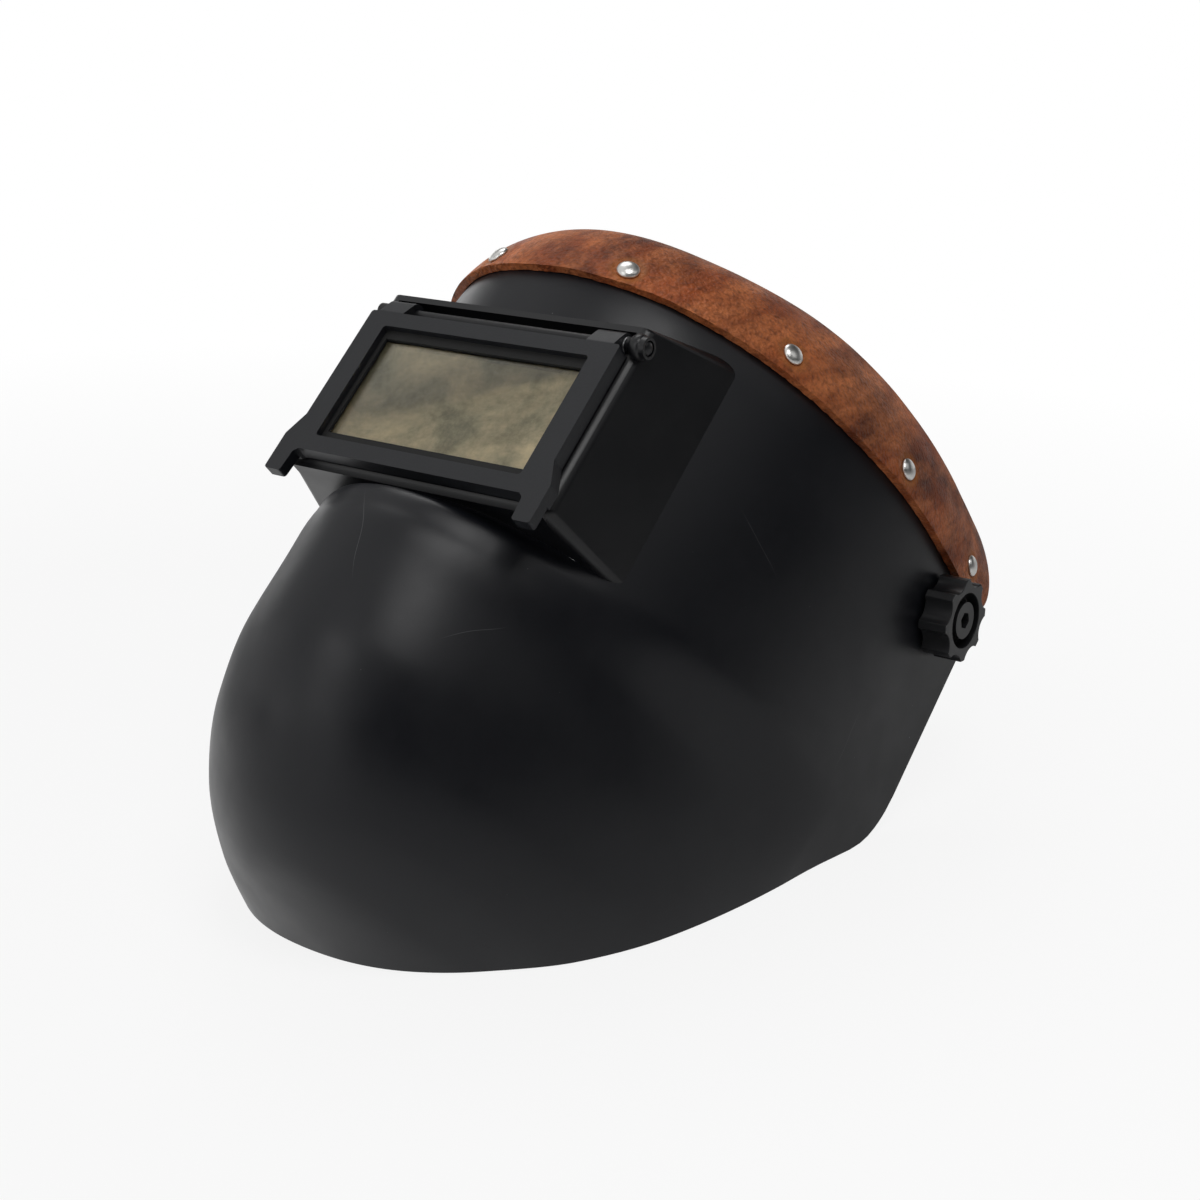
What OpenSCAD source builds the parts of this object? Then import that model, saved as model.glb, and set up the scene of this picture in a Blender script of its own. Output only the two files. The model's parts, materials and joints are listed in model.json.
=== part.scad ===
// Welding helmet with a lift front, a riveted leather brow band and an adjustable head harness.
// Every piece is drawn as it is worn: X across the face, Y back from the front of the window,
// Z up from the middle of the window. The whole helmet is then laid back on its jaw line.

/* [Stance] */
// Angle the helmet is laid back by, so that the jaw line lies flat
tilt = 47.8; // [47:0.1:48.5]
// Height of the middle of the window over the surface it rests on
rest_height = 187; // [186:0.5:188]
// Distance from the middle of the window back to the middle of the helmet
mid_offset = 89.1; // [85:0.1:95]

/* [Shell] */
// Half width of the shell at the temples
shell_half = 113; // [111:0.5:114]
// Thickness of the moulded wall
wall = 3; // [2.6:0.1:3.2]
// Where the straight sides begin, back from the window
side_start = 182; // [178:1:184]
// Rear edge of the shell, back from the window
shell_back = 222.5; // [220:0.5:224]
// Height of the top edge over the middle of the window
shell_top = 92; // [90:1:94]
// Height at which the top begins to curl inward
curl_start = 60; // [60:0.5:61]
// Radius of the inward curl at the brow
curl_front = 50.2; // [48:0.1:54]
// Radius of the inward curl at the temples
curl_side = 84.8; // [80:0.1:95]
// Radius of the lower rear corners
corner_radius = 48; // [40:1:56]

/* [Lift front] */
// Width of the window
window_w = 98; // [97:0.5:99]
// Height of the window
window_h = 52.3; // [51:0.1:53]
// Width of the lens plates
plate_w = 110; // [109.5:0.1:110.2]
// Height of the lens plates
plate_h = 60; // [59.5:0.1:60.2]
// Width across the lift frame
frame_w = 118.4; // [118:0.1:119]
// Thickness of the lift frame
frame_t = 6; // [5.6:0.1:6.2]
// Hinge line, back from the front of the frame
hinge_y = 6.8; // [6.6:0.1:7]
// Hinge line, over the middle of the window
hinge_z = 37.2; // [37:0.1:37.4]
// Radius of the hinge pin
pin_r = 2.1; // [1.9:0.05:2.3]

/* [Lens housing] */
// Front face of the housing, back from the front of the frame
housing_y = 7; // [6.9:0.1:7.2]
// Half width of the housing at its front
housing_half = 62.6; // [62.4:0.1:63]
// Outward flare of the sides for each millimetre back
flare = 0.24; // [0.22:0.01:0.26]
// Rise of the top for each millimetre back
top_rise = 0.48; // [0.46:0.01:0.5]

/* [Leather band] */
// Thickness of the leather
leather_t = 3.5; // [3:0.1:3.8]
// Height of the lower edge at the brow
band_low_front = 66.7; // [65:0.1:68]
// Height of the lower edge at the temples
band_low_side = 72.7; // [71:0.1:74]
// Curl of the band at the brow, in degrees from upright
band_curl_front = 66.9; // [64:0.1:72]
// Curl of the band at the temples, in degrees from upright
band_curl_side = 34.5; // [30:0.1:36]
// Rear end of the band, back from the window
band_back = 225.6; // [224:0.1:228]

/* [Pivots] */
// Pivot of the head harness, back from the window
pivot_y = 190; // [188:1:192]
// Pivot of the head harness, over the middle of the window
pivot_z = 54; // [53:0.5:55]
// Radius over the lobes of the tension knobs
knob_r = 17.2; // [16:0.1:17.5]
// Distance of the knob faces from the middle plane
knob_face = 126.4; // [125:0.1:127]

/* [Head harness] */
// How far the shell is raised from the harness, in degrees
raise = 60; // [58:1:62]
// Half width of the headband
head_half = 77; // [75:0.5:78]
// Half length of the headband
head_long = 95; // [93:0.5:96]
// Thickness of the strap
strap_t = 1.6; // [1.4:0.1:1.7]
// Height of the crown over the pivots
crown_height = 116; // [110:1:118]

/* [Hidden] */
$fn = 48;

// Stations down the shell: height, front line, narrowing of the half width, sharpness of the nose
stations = [
    [60, 9, 0, 1], [-36, 9, 0, 1], [-66, -7, 4.3, 1.4], [-98, -5.8, 7, 1.26], [-125, 1.3, 11, 1.2],
    [-150, 17.3, 21.6, 1.09], [-170, 37.3, 40, 1.05], [-186, 80, 57, 0.85], [-200, 130, 60, 1]
];
// Shoulder of the snout just below the lens housing: height, how far it is pushed forward
shoulder = [[60, 0], [-36, 0], [-43, 10.2], [-52, 6], [-66, 0], [-200, 0]];
front_steps = 40;
side_steps = [1.25, 1.5, 1.75, 1.865, 1.92, 1.96, 1.985, 2];
// Heights of the rows at the nose, closest together at the shoulder. Rows below the curl are scaled
// on the other columns, so that each column ends at its own foot.
row_heights = [
    92, 84, 76, 68, 60, 12, -34, -36.5, -38.5, -41, -43.5, -47, -52, -58, -66, -76, -87, -98,
    -109, -120, -131, -141, -151, -160, -169, -177, -184, -190
];
band_rows = 9;
fit_gap = 0.05;
rivet_shank_r = 1.6;
// Rivets on one side: place along the band, height
rivet_places = [[0.175, 75], [0.51, 80.8], [0.8, 81], [1.44, 84]];

// ---- curves that shape the shell ----

function slope(t, i, c) = (t[i + 1][c] - t[i][c]) / (t[i + 1][0] - t[i][0]);
function tangent(t, i, c) =
    i == 0 || i == len(t) - 1 ? 0
    : slope(t, i - 1, c) * slope(t, i, c) <= 0 ? 0
    : 2 * slope(t, i - 1, c) * slope(t, i, c) / (slope(t, i - 1, c) + slope(t, i, c));
function station_at(t, z, i = 0) =
    i >= len(t) - 2 || z >= t[i + 1][0] ? i : station_at(t, z, i + 1);
// Value of column c at height z, eased from station to station
function eased(t, z, c) =
    let (i = station_at(t, min(z, t[0][0])))
    let (h = t[i + 1][0] - t[i][0], u = (min(z, t[0][0]) - t[i][0]) / h)
    (2 * u * u * u - 3 * u * u + 1) * t[i][c] + (u * u * u - 2 * u * u + u) * h * tangent(t, i, c)
    + (3 * u * u - 2 * u * u * u) * t[i + 1][c] + (u * u * u - u * u) * h * tangent(t, i + 1, c);

// Plan view: w runs from -2 at the left rear edge, by 0 at the nose, to 2 at the right rear edge
function plan(w, half, front, sharp, back) =
    abs(w) <= 1
    ? [half * sin(90 * w), side_start - (side_start - front) * pow(cos(90 * w), sharp)]
    : [sign(w) * half, side_start + (back - side_start) * (abs(w) - 1)];
// Share of the way round from the brow to the temples
function round_share(w, power) = pow(sin(90 * min(1, abs(w))), power);
function curl_radius(w) = curl_front + (curl_side - curl_front) * round_share(w, 2.95);
function curl(w, z) =
    z <= curl_start ? 0 : curl_radius(w) - sqrt(pow(curl_radius(w), 2) - pow(z - curl_start, 2));
// Point of the shell at height z, set in from its outer face by inset
function skin(w, z, inset) =
    let (c = curl(w, z) + inset)
    let (push = abs(w) < 0.5 ? eased(shoulder, z, 1) * pow(cos(180 * w), 2) : 0)
    let (half = shell_half - eased(stations, z, 2) - c, front = eased(stations, z, 1) + c - push)
    let (p = plan(w, half, front, eased(stations, z, 3), shell_back))
    [p[0], p[1], z];

// Jaw line: the plane that lies flat when the helmet rests, with a round lower rear corner
function jaw_z(y) = (y * sin(tilt) - rest_height) / cos(tilt);
function rim_z(y) =
    let (c = shell_back - corner_radius)
    y <= c + corner_radius * sin(tilt) ? jaw_z(y)
    : jaw_z(c) + corner_radius / cos(tilt) - sqrt(max(0, pow(corner_radius, 2) - pow(y - c, 2)));
// Height at which the column w meets the jaw line, found by halving
function meet_jaw(w, inset, low, high, n) =
    let (mid = (low + high) / 2)
    n == 0 ? mid
    : mid > jaw_z(skin(w, mid, inset)[1]) ? meet_jaw(w, inset, low, mid, n - 1)
    : meet_jaw(w, inset, mid, high, n - 1);
function foot_z(w, inset) =
    abs(w) <= 1 ? meet_jaw(w, inset, -200, 0, 24) : rim_z(skin(w, 0, inset)[1]);

// Height of row j at a column that ends at height foot
function row_z(j, foot) =
    let (h = row_heights[j], end = row_heights[len(row_heights) - 1])
    h >= curl_start ? h + (shell_top - row_heights[0]) * (h - curl_start) / (row_heights[0] - curl_start)
    : curl_start + (foot - curl_start) * (curl_start - h) / (curl_start - end);

columns = concat(
    [for (i = [len(side_steps) - 1:-1:0]) -side_steps[i]],
    [for (i = [0:front_steps]) -1 + 2 * i / front_steps],
    side_steps
);

// Closed solid between two grids of points with the same rows and columns
module sheet_solid(outer, inner) {
    rows = len(outer);
    cols = len(outer[0]);
    points = concat([for (r = outer) for (p = r) p], [for (r = inner) for (p = r) p]);
    half = rows * cols;
    function quad(a, b, c, d) = [[a, b, c], [a, c, d]];
    faces = concat(
        [for (i = [0:rows - 2]) for (j = [0:cols - 2])
            for (f = quad(i * cols + j, i * cols + j + 1, (i + 1) * cols + j + 1, (i + 1) * cols + j)) f],
        [for (i = [0:rows - 2]) for (j = [0:cols - 2])
            for (f = quad(half + i * cols + j, half + (i + 1) * cols + j,
                          half + (i + 1) * cols + j + 1, half + i * cols + j + 1)) f],
        [for (j = [0:cols - 2]) for (f = quad(j + 1, j, half + j, half + j + 1)) f],
        [for (j = [0:cols - 2]) let (k = (rows - 1) * cols + j)
            for (f = quad(k, k + 1, half + k + 1, half + k)) f],
        [for (i = [0:rows - 2]) let (k = i * cols, n = k + cols)
            for (f = quad(k, n, half + n, half + k)) f],
        [for (i = [0:rows - 2]) let (k = i * cols + cols - 1, n = k + cols)
            for (f = quad(n, k, half + k, half + n)) f]
    );
    polyhedron(points, faces, convexity = 10);
}

// ---- placing ----

module seated() {
    translate([0, -mid_offset, rest_height]) rotate([-tilt, 0, 0]) children();
}

module on_head() {
    seated() translate([0, pivot_y, pivot_z]) rotate([raise, 0, 0]) children();
}

module box(x, y, z) {
    translate([x[0], y[0], z[0]]) cube([x[1] - x[0], y[1] - y[0], z[1] - z[0]]);
}

// Rectangular frame around the line of sight, from y0 to y1
module rect_frame(outer, inner, y0, y1) {
    difference() {
        box([-outer[0] / 2, outer[0] / 2], [y0, y1], [-outer[1] / 2, outer[1] / 2]);
        box([-inner[0] / 2, inner[0] / 2], [y0 - 1, y1 + 1], [-inner[1] / 2, inner[1] / 2]);
    }
}

// Cylinder along X between two distances from the middle plane
module rod_x(x0, x1, r) {
    translate([x0, 0, 0]) rotate([0, 90, 0]) cylinder(h = x1 - x0, r = r);
}

module both_sides() {
    children();
    mirror([1, 0, 0]) children();
}

// ---- shell and leather ----

// Point over the curl at angle a from upright, raised by off from the shell
function curl_point(w, a, off, back) =
    let (r = curl_radius(w))
    let (c = r - (r + off) * cos(a))
    let (p = plan(w, shell_half - c, stations[0][1] + c, 1, back))
    [p[0], p[1], curl_start + (r + off) * sin(a)];

module at_rivets() {
    for (side = [-1, 1]) for (r = rivet_places) {
        w = side * r[0];
        a = asin((r[1] - curl_start) / curl_radius(w));
        along = curl_point(w + 0.01, a, 0, shell_back) - curl_point(w - 0.01, a, 0, shell_back);
        up = curl_point(w, a + 1, 0, shell_back) - curl_point(w, a - 1, 0, shell_back);
        out = cross(along, up);
        translate(curl_point(w, a, 0, shell_back))
            rotate([0, acos(out[2] / norm(out)), atan2(out[1], out[0])]) children();
    }
}

module shell() {
    last = len(row_heights) - 1;
    color("#1b1c1f") seated() difference() {
        sheet_solid(
            [for (j = [0:last]) [for (w = columns) skin(w, row_z(j, foot_z(w, 0)), 0)]],
            [for (j = [0:last]) [for (w = columns) skin(w, row_z(j, foot_z(w, wall)), wall)]]
        );
        box([-housing_cut_half, housing_cut_half], [-20, 60], [housing_floor, housing_cut_top]);
        translate([0, pivot_y, pivot_z]) both_sides() rod_x(100, 120, screw_r + fit_gap);
        at_rivets() translate([0, 0, -8]) cylinder(h = 16, r = rivet_shank_r);
    }
}

function band_low(w) =
    let (z = band_low_front + (band_low_side - band_low_front) * pow(sin(90 * min(1, abs(w) / 0.6)), 1.3))
    asin((z - curl_start) / (curl_radius(w) + leather_t));
function band_high(w) = band_curl_front + (band_curl_side - band_curl_front) * round_share(w, 2.9);
band_end_round = 15;
// Rear end of the band at height step u, with both its corners round
function band_end(u) = band_back - band_end_round * (1 - sqrt(1 - pow(2 * u - 1, 2)));
function leather_point(w, u, off) =
    curl_point(w, band_low(w) + (band_high(w) - band_low(w)) * u, off, band_end(u));

module leather_band() {
    cols = concat([-2, -1.8, -1.6, -1.4, -1.2], [for (i = [0:front_steps]) -1 + 2 * i / front_steps],
                  [1.2, 1.4, 1.6, 1.8, 2]);
    color("#7a3a22") seated() difference() {
        sheet_solid(
            [for (j = [band_rows:-1:0]) [for (w = cols) leather_point(w, j / band_rows, leather_gap + leather_t)]],
            [for (j = [band_rows:-1:0]) [for (w = cols) leather_point(w, j / band_rows, leather_gap)]]
        );
        at_rivets() translate([0, 0, -8]) cylinder(h = 16, r = rivet_shank_r);
    }
}
leather_gap = 0.15;

rivet_head_r = 4.4;
rivet_head_h = 2.3;
module band_rivets() {
    head_z = leather_gap + leather_t + 0.1;
    dome = [for (a = [0:10:90]) [rivet_head_r * cos(a), head_z + rivet_head_h * sin(a)]];
    color("#c9c9cb") seated() at_rivets() rotate_extrude() polygon(concat(
        dome,
        [[0, -wall - 1.6], [rivet_shank_r + 0.9, -wall - 1.6], [rivet_shank_r + 0.9, -wall - 1.1],
         [rivet_shank_r, -wall - 1.1], [rivet_shank_r, head_z]]
    ));
}

module rivet_washers() {
    color("#b4b4b6") seated() at_rivets() translate([0, 0, -wall - 1.1]) difference() {
        cylinder(h = 0.8, r = 4);
        translate([0, 0, -1]) cylinder(h = 3, r = rivet_shank_r);
    }
}

// ---- lens housing, fixed to the shell ----

housing_floor = -36;
housing_top = 46;
housing_cut_half = 60.5;
housing_cut_top = 45;
housing_wall = 2.6;
housing_edge = 4.5;
housing_deep = 64;
recess_back = 12.6;
ring_half = 60;
ring_back = 20;
lip_back = 14.4;
boss_r = 3.2;
boss_in = 57;
boss_left = 61.5;
boss_right = 65.9;
// Seat of the pin head in the right boss
pin_head_r = 2.9;
pin_head_in = 63.6;
// Outline of the right boss: radius and distance from the middle plane
boss_profile = [
    [0, boss_in], [boss_r, boss_in], [boss_r, 58.6], [4.3, 59.8], [4.9, 61.4], [4.7, 63], [4, 64], [4, boss_right],
    [0, boss_right]
];

// Box that grows wider and taller towards the shell, with rounded edges
module flared_box(in, edge, steps) {
    x0 = housing_half - in;
    x1 = housing_half + (housing_deep - housing_y) * flare - in;
    z0 = housing_top - in;
    z1 = housing_top + (housing_deep - housing_y) * top_rise - in;
    floor_z = housing_floor + in;
    front = housing_y + in;
    hull() {
        for (x = [-1, 1]) {
            translate([x * (x0 - edge), front + edge, floor_z + edge]) sphere(r = edge, $fn = 32);
            translate([x * (x0 - edge), front + edge, z0 - 1]) cylinder(h = 1, r = edge, $fn = 32);
            translate([x * (x1 - 10), housing_deep, z1 - 10]) rotate([-90, 0, 0]) cylinder(h = 1, r = 10, $fn = steps);
            translate([x * (x1 - 3), housing_deep, floor_z + 3]) rotate([-90, 0, 0]) cylinder(h = 1, r = 3, $fn = steps);
        }
    }
}

// Everything behind the outer face of the shell, beside the window
module behind_shell() {
    translate([0, 0, housing_floor - 10]) linear_extrude(height = 120) polygon(concat(
        [for (i = [0:front_steps]) plan(-1 + 2 * i / front_steps, shell_half, stations[0][1], 1, shell_back)],
        [[shell_half, shell_back], [-shell_half, shell_back]]
    ));
}

module lens_housing() {
    color("#17181a") seated() difference() {
        union() {
            difference() {
                flared_box(0, housing_edge, 24);
                flared_box(housing_wall, housing_edge - 2, 12);
                behind_shell();
            }
            box([-ring_half, ring_half], [housing_y + 1, ring_back], [housing_floor, housing_cut_top]);
            translate([0, hinge_y, hinge_z]) {
                rotate([0, 90, 0]) rotate_extrude() polygon(boss_profile);
                rod_x(-boss_left, -boss_in, boss_r);
            }
        }
        // Room for the lift frame's lens holder, and for the hinge above it
        box([-58.6, 58.6], [0, recess_back], [-32.6, 32.6]);
        box([-57, 57], [0, recess_back], [30, housing_top - housing_wall]);
        box([-window_w / 2, window_w / 2], [0, ring_back + 1], [-window_h / 2, window_h / 2]);
        box([-plate_w / 2 - 0.4, plate_w / 2 + 0.4], [lip_back, ring_back + 1],
            [-plate_h / 2 - 0.4, plate_h / 2 + 0.4]);
        translate([0, hinge_y, hinge_z]) {
            rod_x(-boss_left - 1, boss_right + 1, pin_r);
            rod_x(pin_head_in, boss_right + 1, pin_head_r);
        }
    }
}

// Frame-shaped pieces in a lens pocket: window opening smaller than the plate
module lens_piece(y0, y1, margin) {
    rect_frame([plate_w, plate_h], [plate_w - 2 * margin, plate_h - 2 * margin], y0, y1);
}

module safety_gasket() {
    color("#222222") seated() lens_piece(lip_back, lip_back + 0.8, 6);
}

module safety_plate() {
    color("#cfe0e4", 0.5) seated()
        box([-plate_w / 2, plate_w / 2], [lip_back + 0.8, lip_back + 2.8], [-plate_h / 2, plate_h / 2]);
}

module safety_retainer() {
    color("#8d9094") seated() lens_piece(lip_back + 2.8, lip_back + 4.6, 4);
}

// ---- lift front ----

knuckle_in = 43.7;
knuckle_out = 56;
knuckle_r = 4.4;
holder_back = 10.8;
lip_front = 2.8;
tab_t = 4.6;

// Front outline of the lift frame, right half, from the top middle down
function frame_half() = [
    [0, 32.6], [frame_w / 2, 32.6], [frame_w / 2, -18], [63.4, -27.7], [63.4, -43.7],
    [55.4, -43.7], [54.8, -34.5], [52.8, -33], [0, -33]
];

module lift_frame() {
    half = frame_half();
    outline = concat(half, [for (i = [len(half) - 2:-1:1]) [-half[i][0], half[i][1]]]);
    color("#23252a") seated() difference() {
        union() {
            intersection() {
                translate([0, frame_t, 0]) rotate([90, 0, 0]) linear_extrude(height = frame_t)
                    offset(r = -1.8, $fn = 24) offset(r = 3, $fn = 24) offset(delta = -1.2) polygon(outline);
                // The tabs below the bottom bar are thinner than the frame
                union() {
                    box([-70, 70], [0, frame_t], [-34.2, 40]);
                    box([-70, 70], [0, tab_t], [-50, -34]);
                }
            }
            box([-57.2, 57.2], [lip_front, holder_back], [-31.9, 31.9]);
            for (x = [-knuckle_out, knuckle_in]) {
                translate([0, hinge_y, hinge_z]) rod_x(x, x + knuckle_out - knuckle_in, knuckle_r);
                translate([x, 0, 0]) rotate([90, 0, 90]) linear_extrude(height = knuckle_out - knuckle_in)
                    polygon([[0.4, 30], [0.4, 33.4], [2.9, 39.3], [hinge_y, hinge_z], [9.5, 33.7], [9.5, 30]]);
            }
        }
        translate([0, frame_t, 0]) rotate([90, 0, 0]) linear_extrude(height = frame_t + 1)
            offset(r = 1.5, $fn = 24) square([window_w - 3, window_h - 3], center = true);
        box([-plate_w / 2 - 0.3, plate_w / 2 + 0.3], [lip_front, holder_back + 1],
            [-plate_h / 2 - 0.3, plate_h / 2 + 0.3]);
        translate([0, hinge_y, hinge_z]) rod_x(-60, 60, pin_r + fit_gap);
    }
}

module filter_gasket() {
    color("#141414") seated() lens_piece(lip_front, lip_front + 1.5, 7.8);
}

module cover_plate() {
    color("#dfe6e6", 0.3) seated()
        box([-plate_w / 2, plate_w / 2], [lip_front + 1.5, lip_front + 2.5], [-plate_h / 2, plate_h / 2]);
}

module filter_plate() {
    color("#7d6f45") seated()
        box([-plate_w / 2, plate_w / 2], [lip_front + 2.5, lip_front + 5.5], [-plate_h / 2, plate_h / 2]);
}

module filter_retainer() {
    color("#8d9094") seated() lens_piece(lip_front + 5.5, lip_front + 7.3, 4);
}

module hinge_pin() {
    head = [for (a = [0:15:90]) [pin_head_r * cos(a), boss_right - 1.2 + 1.7 * sin(a)]];
    color("#1d1e21") seated() translate([0, hinge_y, hinge_z]) rotate([0, 90, 0]) rotate_extrude()
        polygon(concat([[0, -boss_left], [pin_r, -boss_left], [pin_r, pin_head_in], [pin_head_r, pin_head_in]], head));
}

module hinge_washers() {
    color("#9a9da0") seated() translate([0, hinge_y, hinge_z]) both_sides() difference() {
        rod_x(knuckle_out + 0.1, boss_in - 0.1, boss_r);
        rod_x(knuckle_out - 1, boss_in + 1, pin_r);
    }
}

// ---- pivots ----

screw_r = 4;
washer_t = 0.8;
knob_back = shell_half + washer_t + 0.2;
screw_head_r = 7.6;
screw_head_in = 121;
screw_head_out = 126;
screw_tip = 97.5;
bracket_out = 107;
bracket_in = 103;

module knob_shape() {
    difference() {
        rod_x(knob_back, knob_face, knob_r);
        for (a = [22.5:45:359]) rotate([a, 0, 0]) translate([0, 0, knob_r + 3.7])
            rod_x(knob_back - 1, knob_face + 1, 6.7);
        rod_x(screw_head_in, knob_face + 1, 11.4);
        rod_x(knob_back - 1, knob_face, screw_r);
    }
}

module screw_shape() {
    difference() {
        union() {
            rod_x(screw_head_in, screw_head_out, screw_head_r);
            rod_x(screw_tip, screw_head_in, screw_r);
        }
        translate([screw_head_out - 3.5, 0, 0]) rotate([0, 90, 0]) cylinder(h = 5, r = 3.6, $fn = 6);
    }
}

module at_pivot(side) {
    seated() translate([0, pivot_y, pivot_z]) mirror([side < 0 ? 1 : 0, 0, 0]) children();
}

module knob_right() { color("#1a1b1d") at_pivot(1) knob_shape(); }
module knob_left() { color("#1a1b1d") at_pivot(-1) knob_shape(); }
module knob_screw_right() { color("#26272a") at_pivot(1) screw_shape(); }
module knob_screw_left() { color("#26272a") at_pivot(-1) screw_shape(); }

module outer_washers() {
    color("#30302e") for (side = [-1, 1]) at_pivot(side) difference() {
        rod_x(shell_half + 0.1, shell_half + 0.1 + washer_t, 11);
        rod_x(shell_half - 1, shell_half + 3, screw_r + fit_gap);
    }
}

module inner_washers() {
    color("#d8d4c8") for (side = [-1, 1]) at_pivot(side) difference() {
        rod_x(bracket_out + 0.1, shell_half - wall - 0.4, 10.5);
        rod_x(bracket_out - 1, shell_half, screw_r + fit_gap);
    }
}

// ---- head harness, drawn round its own pivots ----

bracket_pad_in = head_half + 2.2;
bracket_rivet_places = [[-8, 20], [8, 20]];
// Inner face of the crown straps where they hang inside the headband
strap_in = head_half - 2.7;
band_z = [5, 35];

module bracket_shape() {
    difference() {
        union() {
            rod_x(bracket_in, bracket_out, 14);
            hull() {
                box([bracket_in + 0.6, bracket_out - 0.6], [-9, 9], [3, 11]);
                box([bracket_pad_in + 0.6, bracket_pad_in + 2.4], [-11, 11], [13, 24]);
            }
            box([bracket_pad_in, bracket_pad_in + 3], [-14, 14], [9, 31]);
        }
        rod_x(90, 120, screw_r + fit_gap);
        rod_x(70, bracket_in, 9.5);
        at_bracket_rivets() {
            rod_x(60, 100, 2);
            rod_x(bracket_pad_in + 3, 100, 4);
        }
    }
}

module at_bracket_rivets() {
    for (p = bracket_rivet_places) translate([0, p[0], p[1]]) children();
}

module bracket_right() { color("#232427") on_head() bracket_shape(); }
module bracket_left() { color("#232427") on_head() mirror([1, 0, 0]) bracket_shape(); }

module pivot_nuts() {
    color("#b9bbbe") on_head() both_sides() difference() {
        translate([bracket_in - 4.2, 0, 0]) rotate([0, 90, 0]) cylinder(h = 4.1, r = 6.5 / cos(30), $fn = 6);
        rod_x(90, 110, screw_r + fit_gap);
    }
}

module bracket_rivets() {
    color("#2b2c2f") on_head() both_sides() at_bracket_rivets() {
        rod_x(strap_in, bracket_pad_in + 3, 2);
        rod_x(bracket_pad_in + 3, bracket_pad_in + 4.2, 3.6);
        rod_x(strap_in - 1.2, strap_in, 3.6);
    }
}

// Point of the headband loop, a degrees round from the brow, set out by off
function loop_point(a, off) = [(head_half + off) * sin(a), 3 - (head_long + off) * cos(a)];
// The right end laps outside the left end at the back of the head
lap = 2.4;
function lap_offset(a) = a < -140 ? lap * min(1, (-140 - a) / 20) : 0;

module headband() {
    angles = [for (a = [-198:6:198]) a];
    color("#1f2022") on_head() difference() {
        translate([0, 0, band_z[0]]) linear_extrude(height = band_z[1] - band_z[0]) polygon(concat(
            [for (a = angles) loop_point(a, lap_offset(a))],
            [for (i = [len(angles) - 1:-1:0]) loop_point(angles[i], lap_offset(angles[i]) + strap_t)]
        ));
        // Slot that the pinion turns in
        box([-20, 20], [60, 120], [20 - 5.8, 20 + 5.8]);
        both_sides() at_bracket_rivets() rod_x(60, 100, 2);
    }
}

module sweatband() {
    angles = [for (a = [-66:6:66]) a];
    color("#2e2d2b") on_head() translate([0, 0, 3]) linear_extrude(height = 34) polygon(concat(
        [for (a = angles) loop_point(a, -0.4)],
        [for (i = [len(angles) - 1:-1:0]) loop_point(angles[i], -5)]
    ));
}

// Half hoop over the head in the plane of the pivots, from one side past the top
function hoop_point(a, off) =
    [(strap_in + off) * cos(a), 22 + (crown_height - 22 + off) * sin(a)];

// Strap that rises by lift at the crown, where the two straps lap
module crown_strap(lift) {
    angles = [for (a = [0:5:110]) a];
    difference() {
        rotate([90, 0, 0]) linear_extrude(height = 24, center = true) polygon(concat(
            [[strap_in, 8]], [for (a = angles) hoop_point(a, lift * sin(a))],
            [for (i = [len(angles) - 1:-1:0]) hoop_point(angles[i], lift * sin(angles[i]) + strap_t)],
            [[strap_in + strap_t, 8]]
        ));
        at_bracket_rivets() rod_x(60, 100, 2);
        // Row of holes that the peg is moved along
        for (a = [-17:8.5:17]) rotate([0, a, 0]) cylinder(h = 200, r = 2.5);
    }
}

module crown_strap_right() { color("#1f2022") on_head() crown_strap(0); }
module crown_strap_left() { color("#1f2022") on_head() mirror([1, 0, 0]) crown_strap(1.9); }

module crown_peg() {
    color("#2b2c2f") on_head() {
        translate([0, 0, crown_height - 0.2]) cylinder(h = 4.4, r = 2.4);
        translate([0, 0, crown_height + 4.2]) cylinder(h = 1.4, r = 5);
        translate([0, 0, crown_height - 1.6]) cylinder(h = 1.4, r = 4.2);
    }
}

ratchet_z = 20;
ratchet_half = 26;
ratchet_y = [91, 105];

module ratchet_housing() {
    color("#1b1c1e") on_head() difference() {
        box([-ratchet_half, ratchet_half], [ratchet_y[0] + 0.1, ratchet_y[1]], [2, 38]);
        box([-ratchet_half - 1, ratchet_half + 1], [ratchet_y[0] - 1, ratchet_y[1] - 2], [4.6, 35.4]);
        translate([0, 0, ratchet_z]) rotate([-90, 0, 0]) cylinder(h = 120, r = 3 + fit_gap);
        at_ratchet_screws() cylinder(h = 120, r = 1.2);
    }
}

module at_ratchet_screws() {
    for (z = [3.3, 36.7]) translate([18, 0, z]) rotate([-90, 0, 0]) children();
    for (z = [3.3, 36.7]) translate([-18, 0, z]) rotate([-90, 0, 0]) children();
}

module ratchet_backplate() {
    color("#1b1c1e") on_head() difference() {
        box([-ratchet_half, ratchet_half], [ratchet_y[0] - 2, ratchet_y[0]], [2, 38]);
        at_ratchet_screws() cylinder(h = 120, r = 1.2);
    }
}

module ratchet_screws() {
    color("#8f9295") on_head() at_ratchet_screws() translate([0, 0, ratchet_y[0] - 2]) {
        cylinder(h = 9, r = 1.15);
        translate([0, 0, -1]) cylinder(h = 1, r = 1.3);
    }
}

module ratchet_pinion() {
    teeth = 10;
    color("#cfcabd") on_head() translate([0, 94, ratchet_z]) rotate([-90, 0, 0]) difference() {
        linear_extrude(height = 8.6) polygon([for (i = [0:teeth - 1]) for (k = [[0, 4], [0.3, 5.2], [0.55, 5.2], [0.85, 4]])
            let (a = (i + k[0]) * 360 / teeth) [k[1] * cos(a), k[1] * sin(a)]]);
        translate([0, 0, -1]) cylinder(h = 12, r = 2.95);
    }
}

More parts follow.
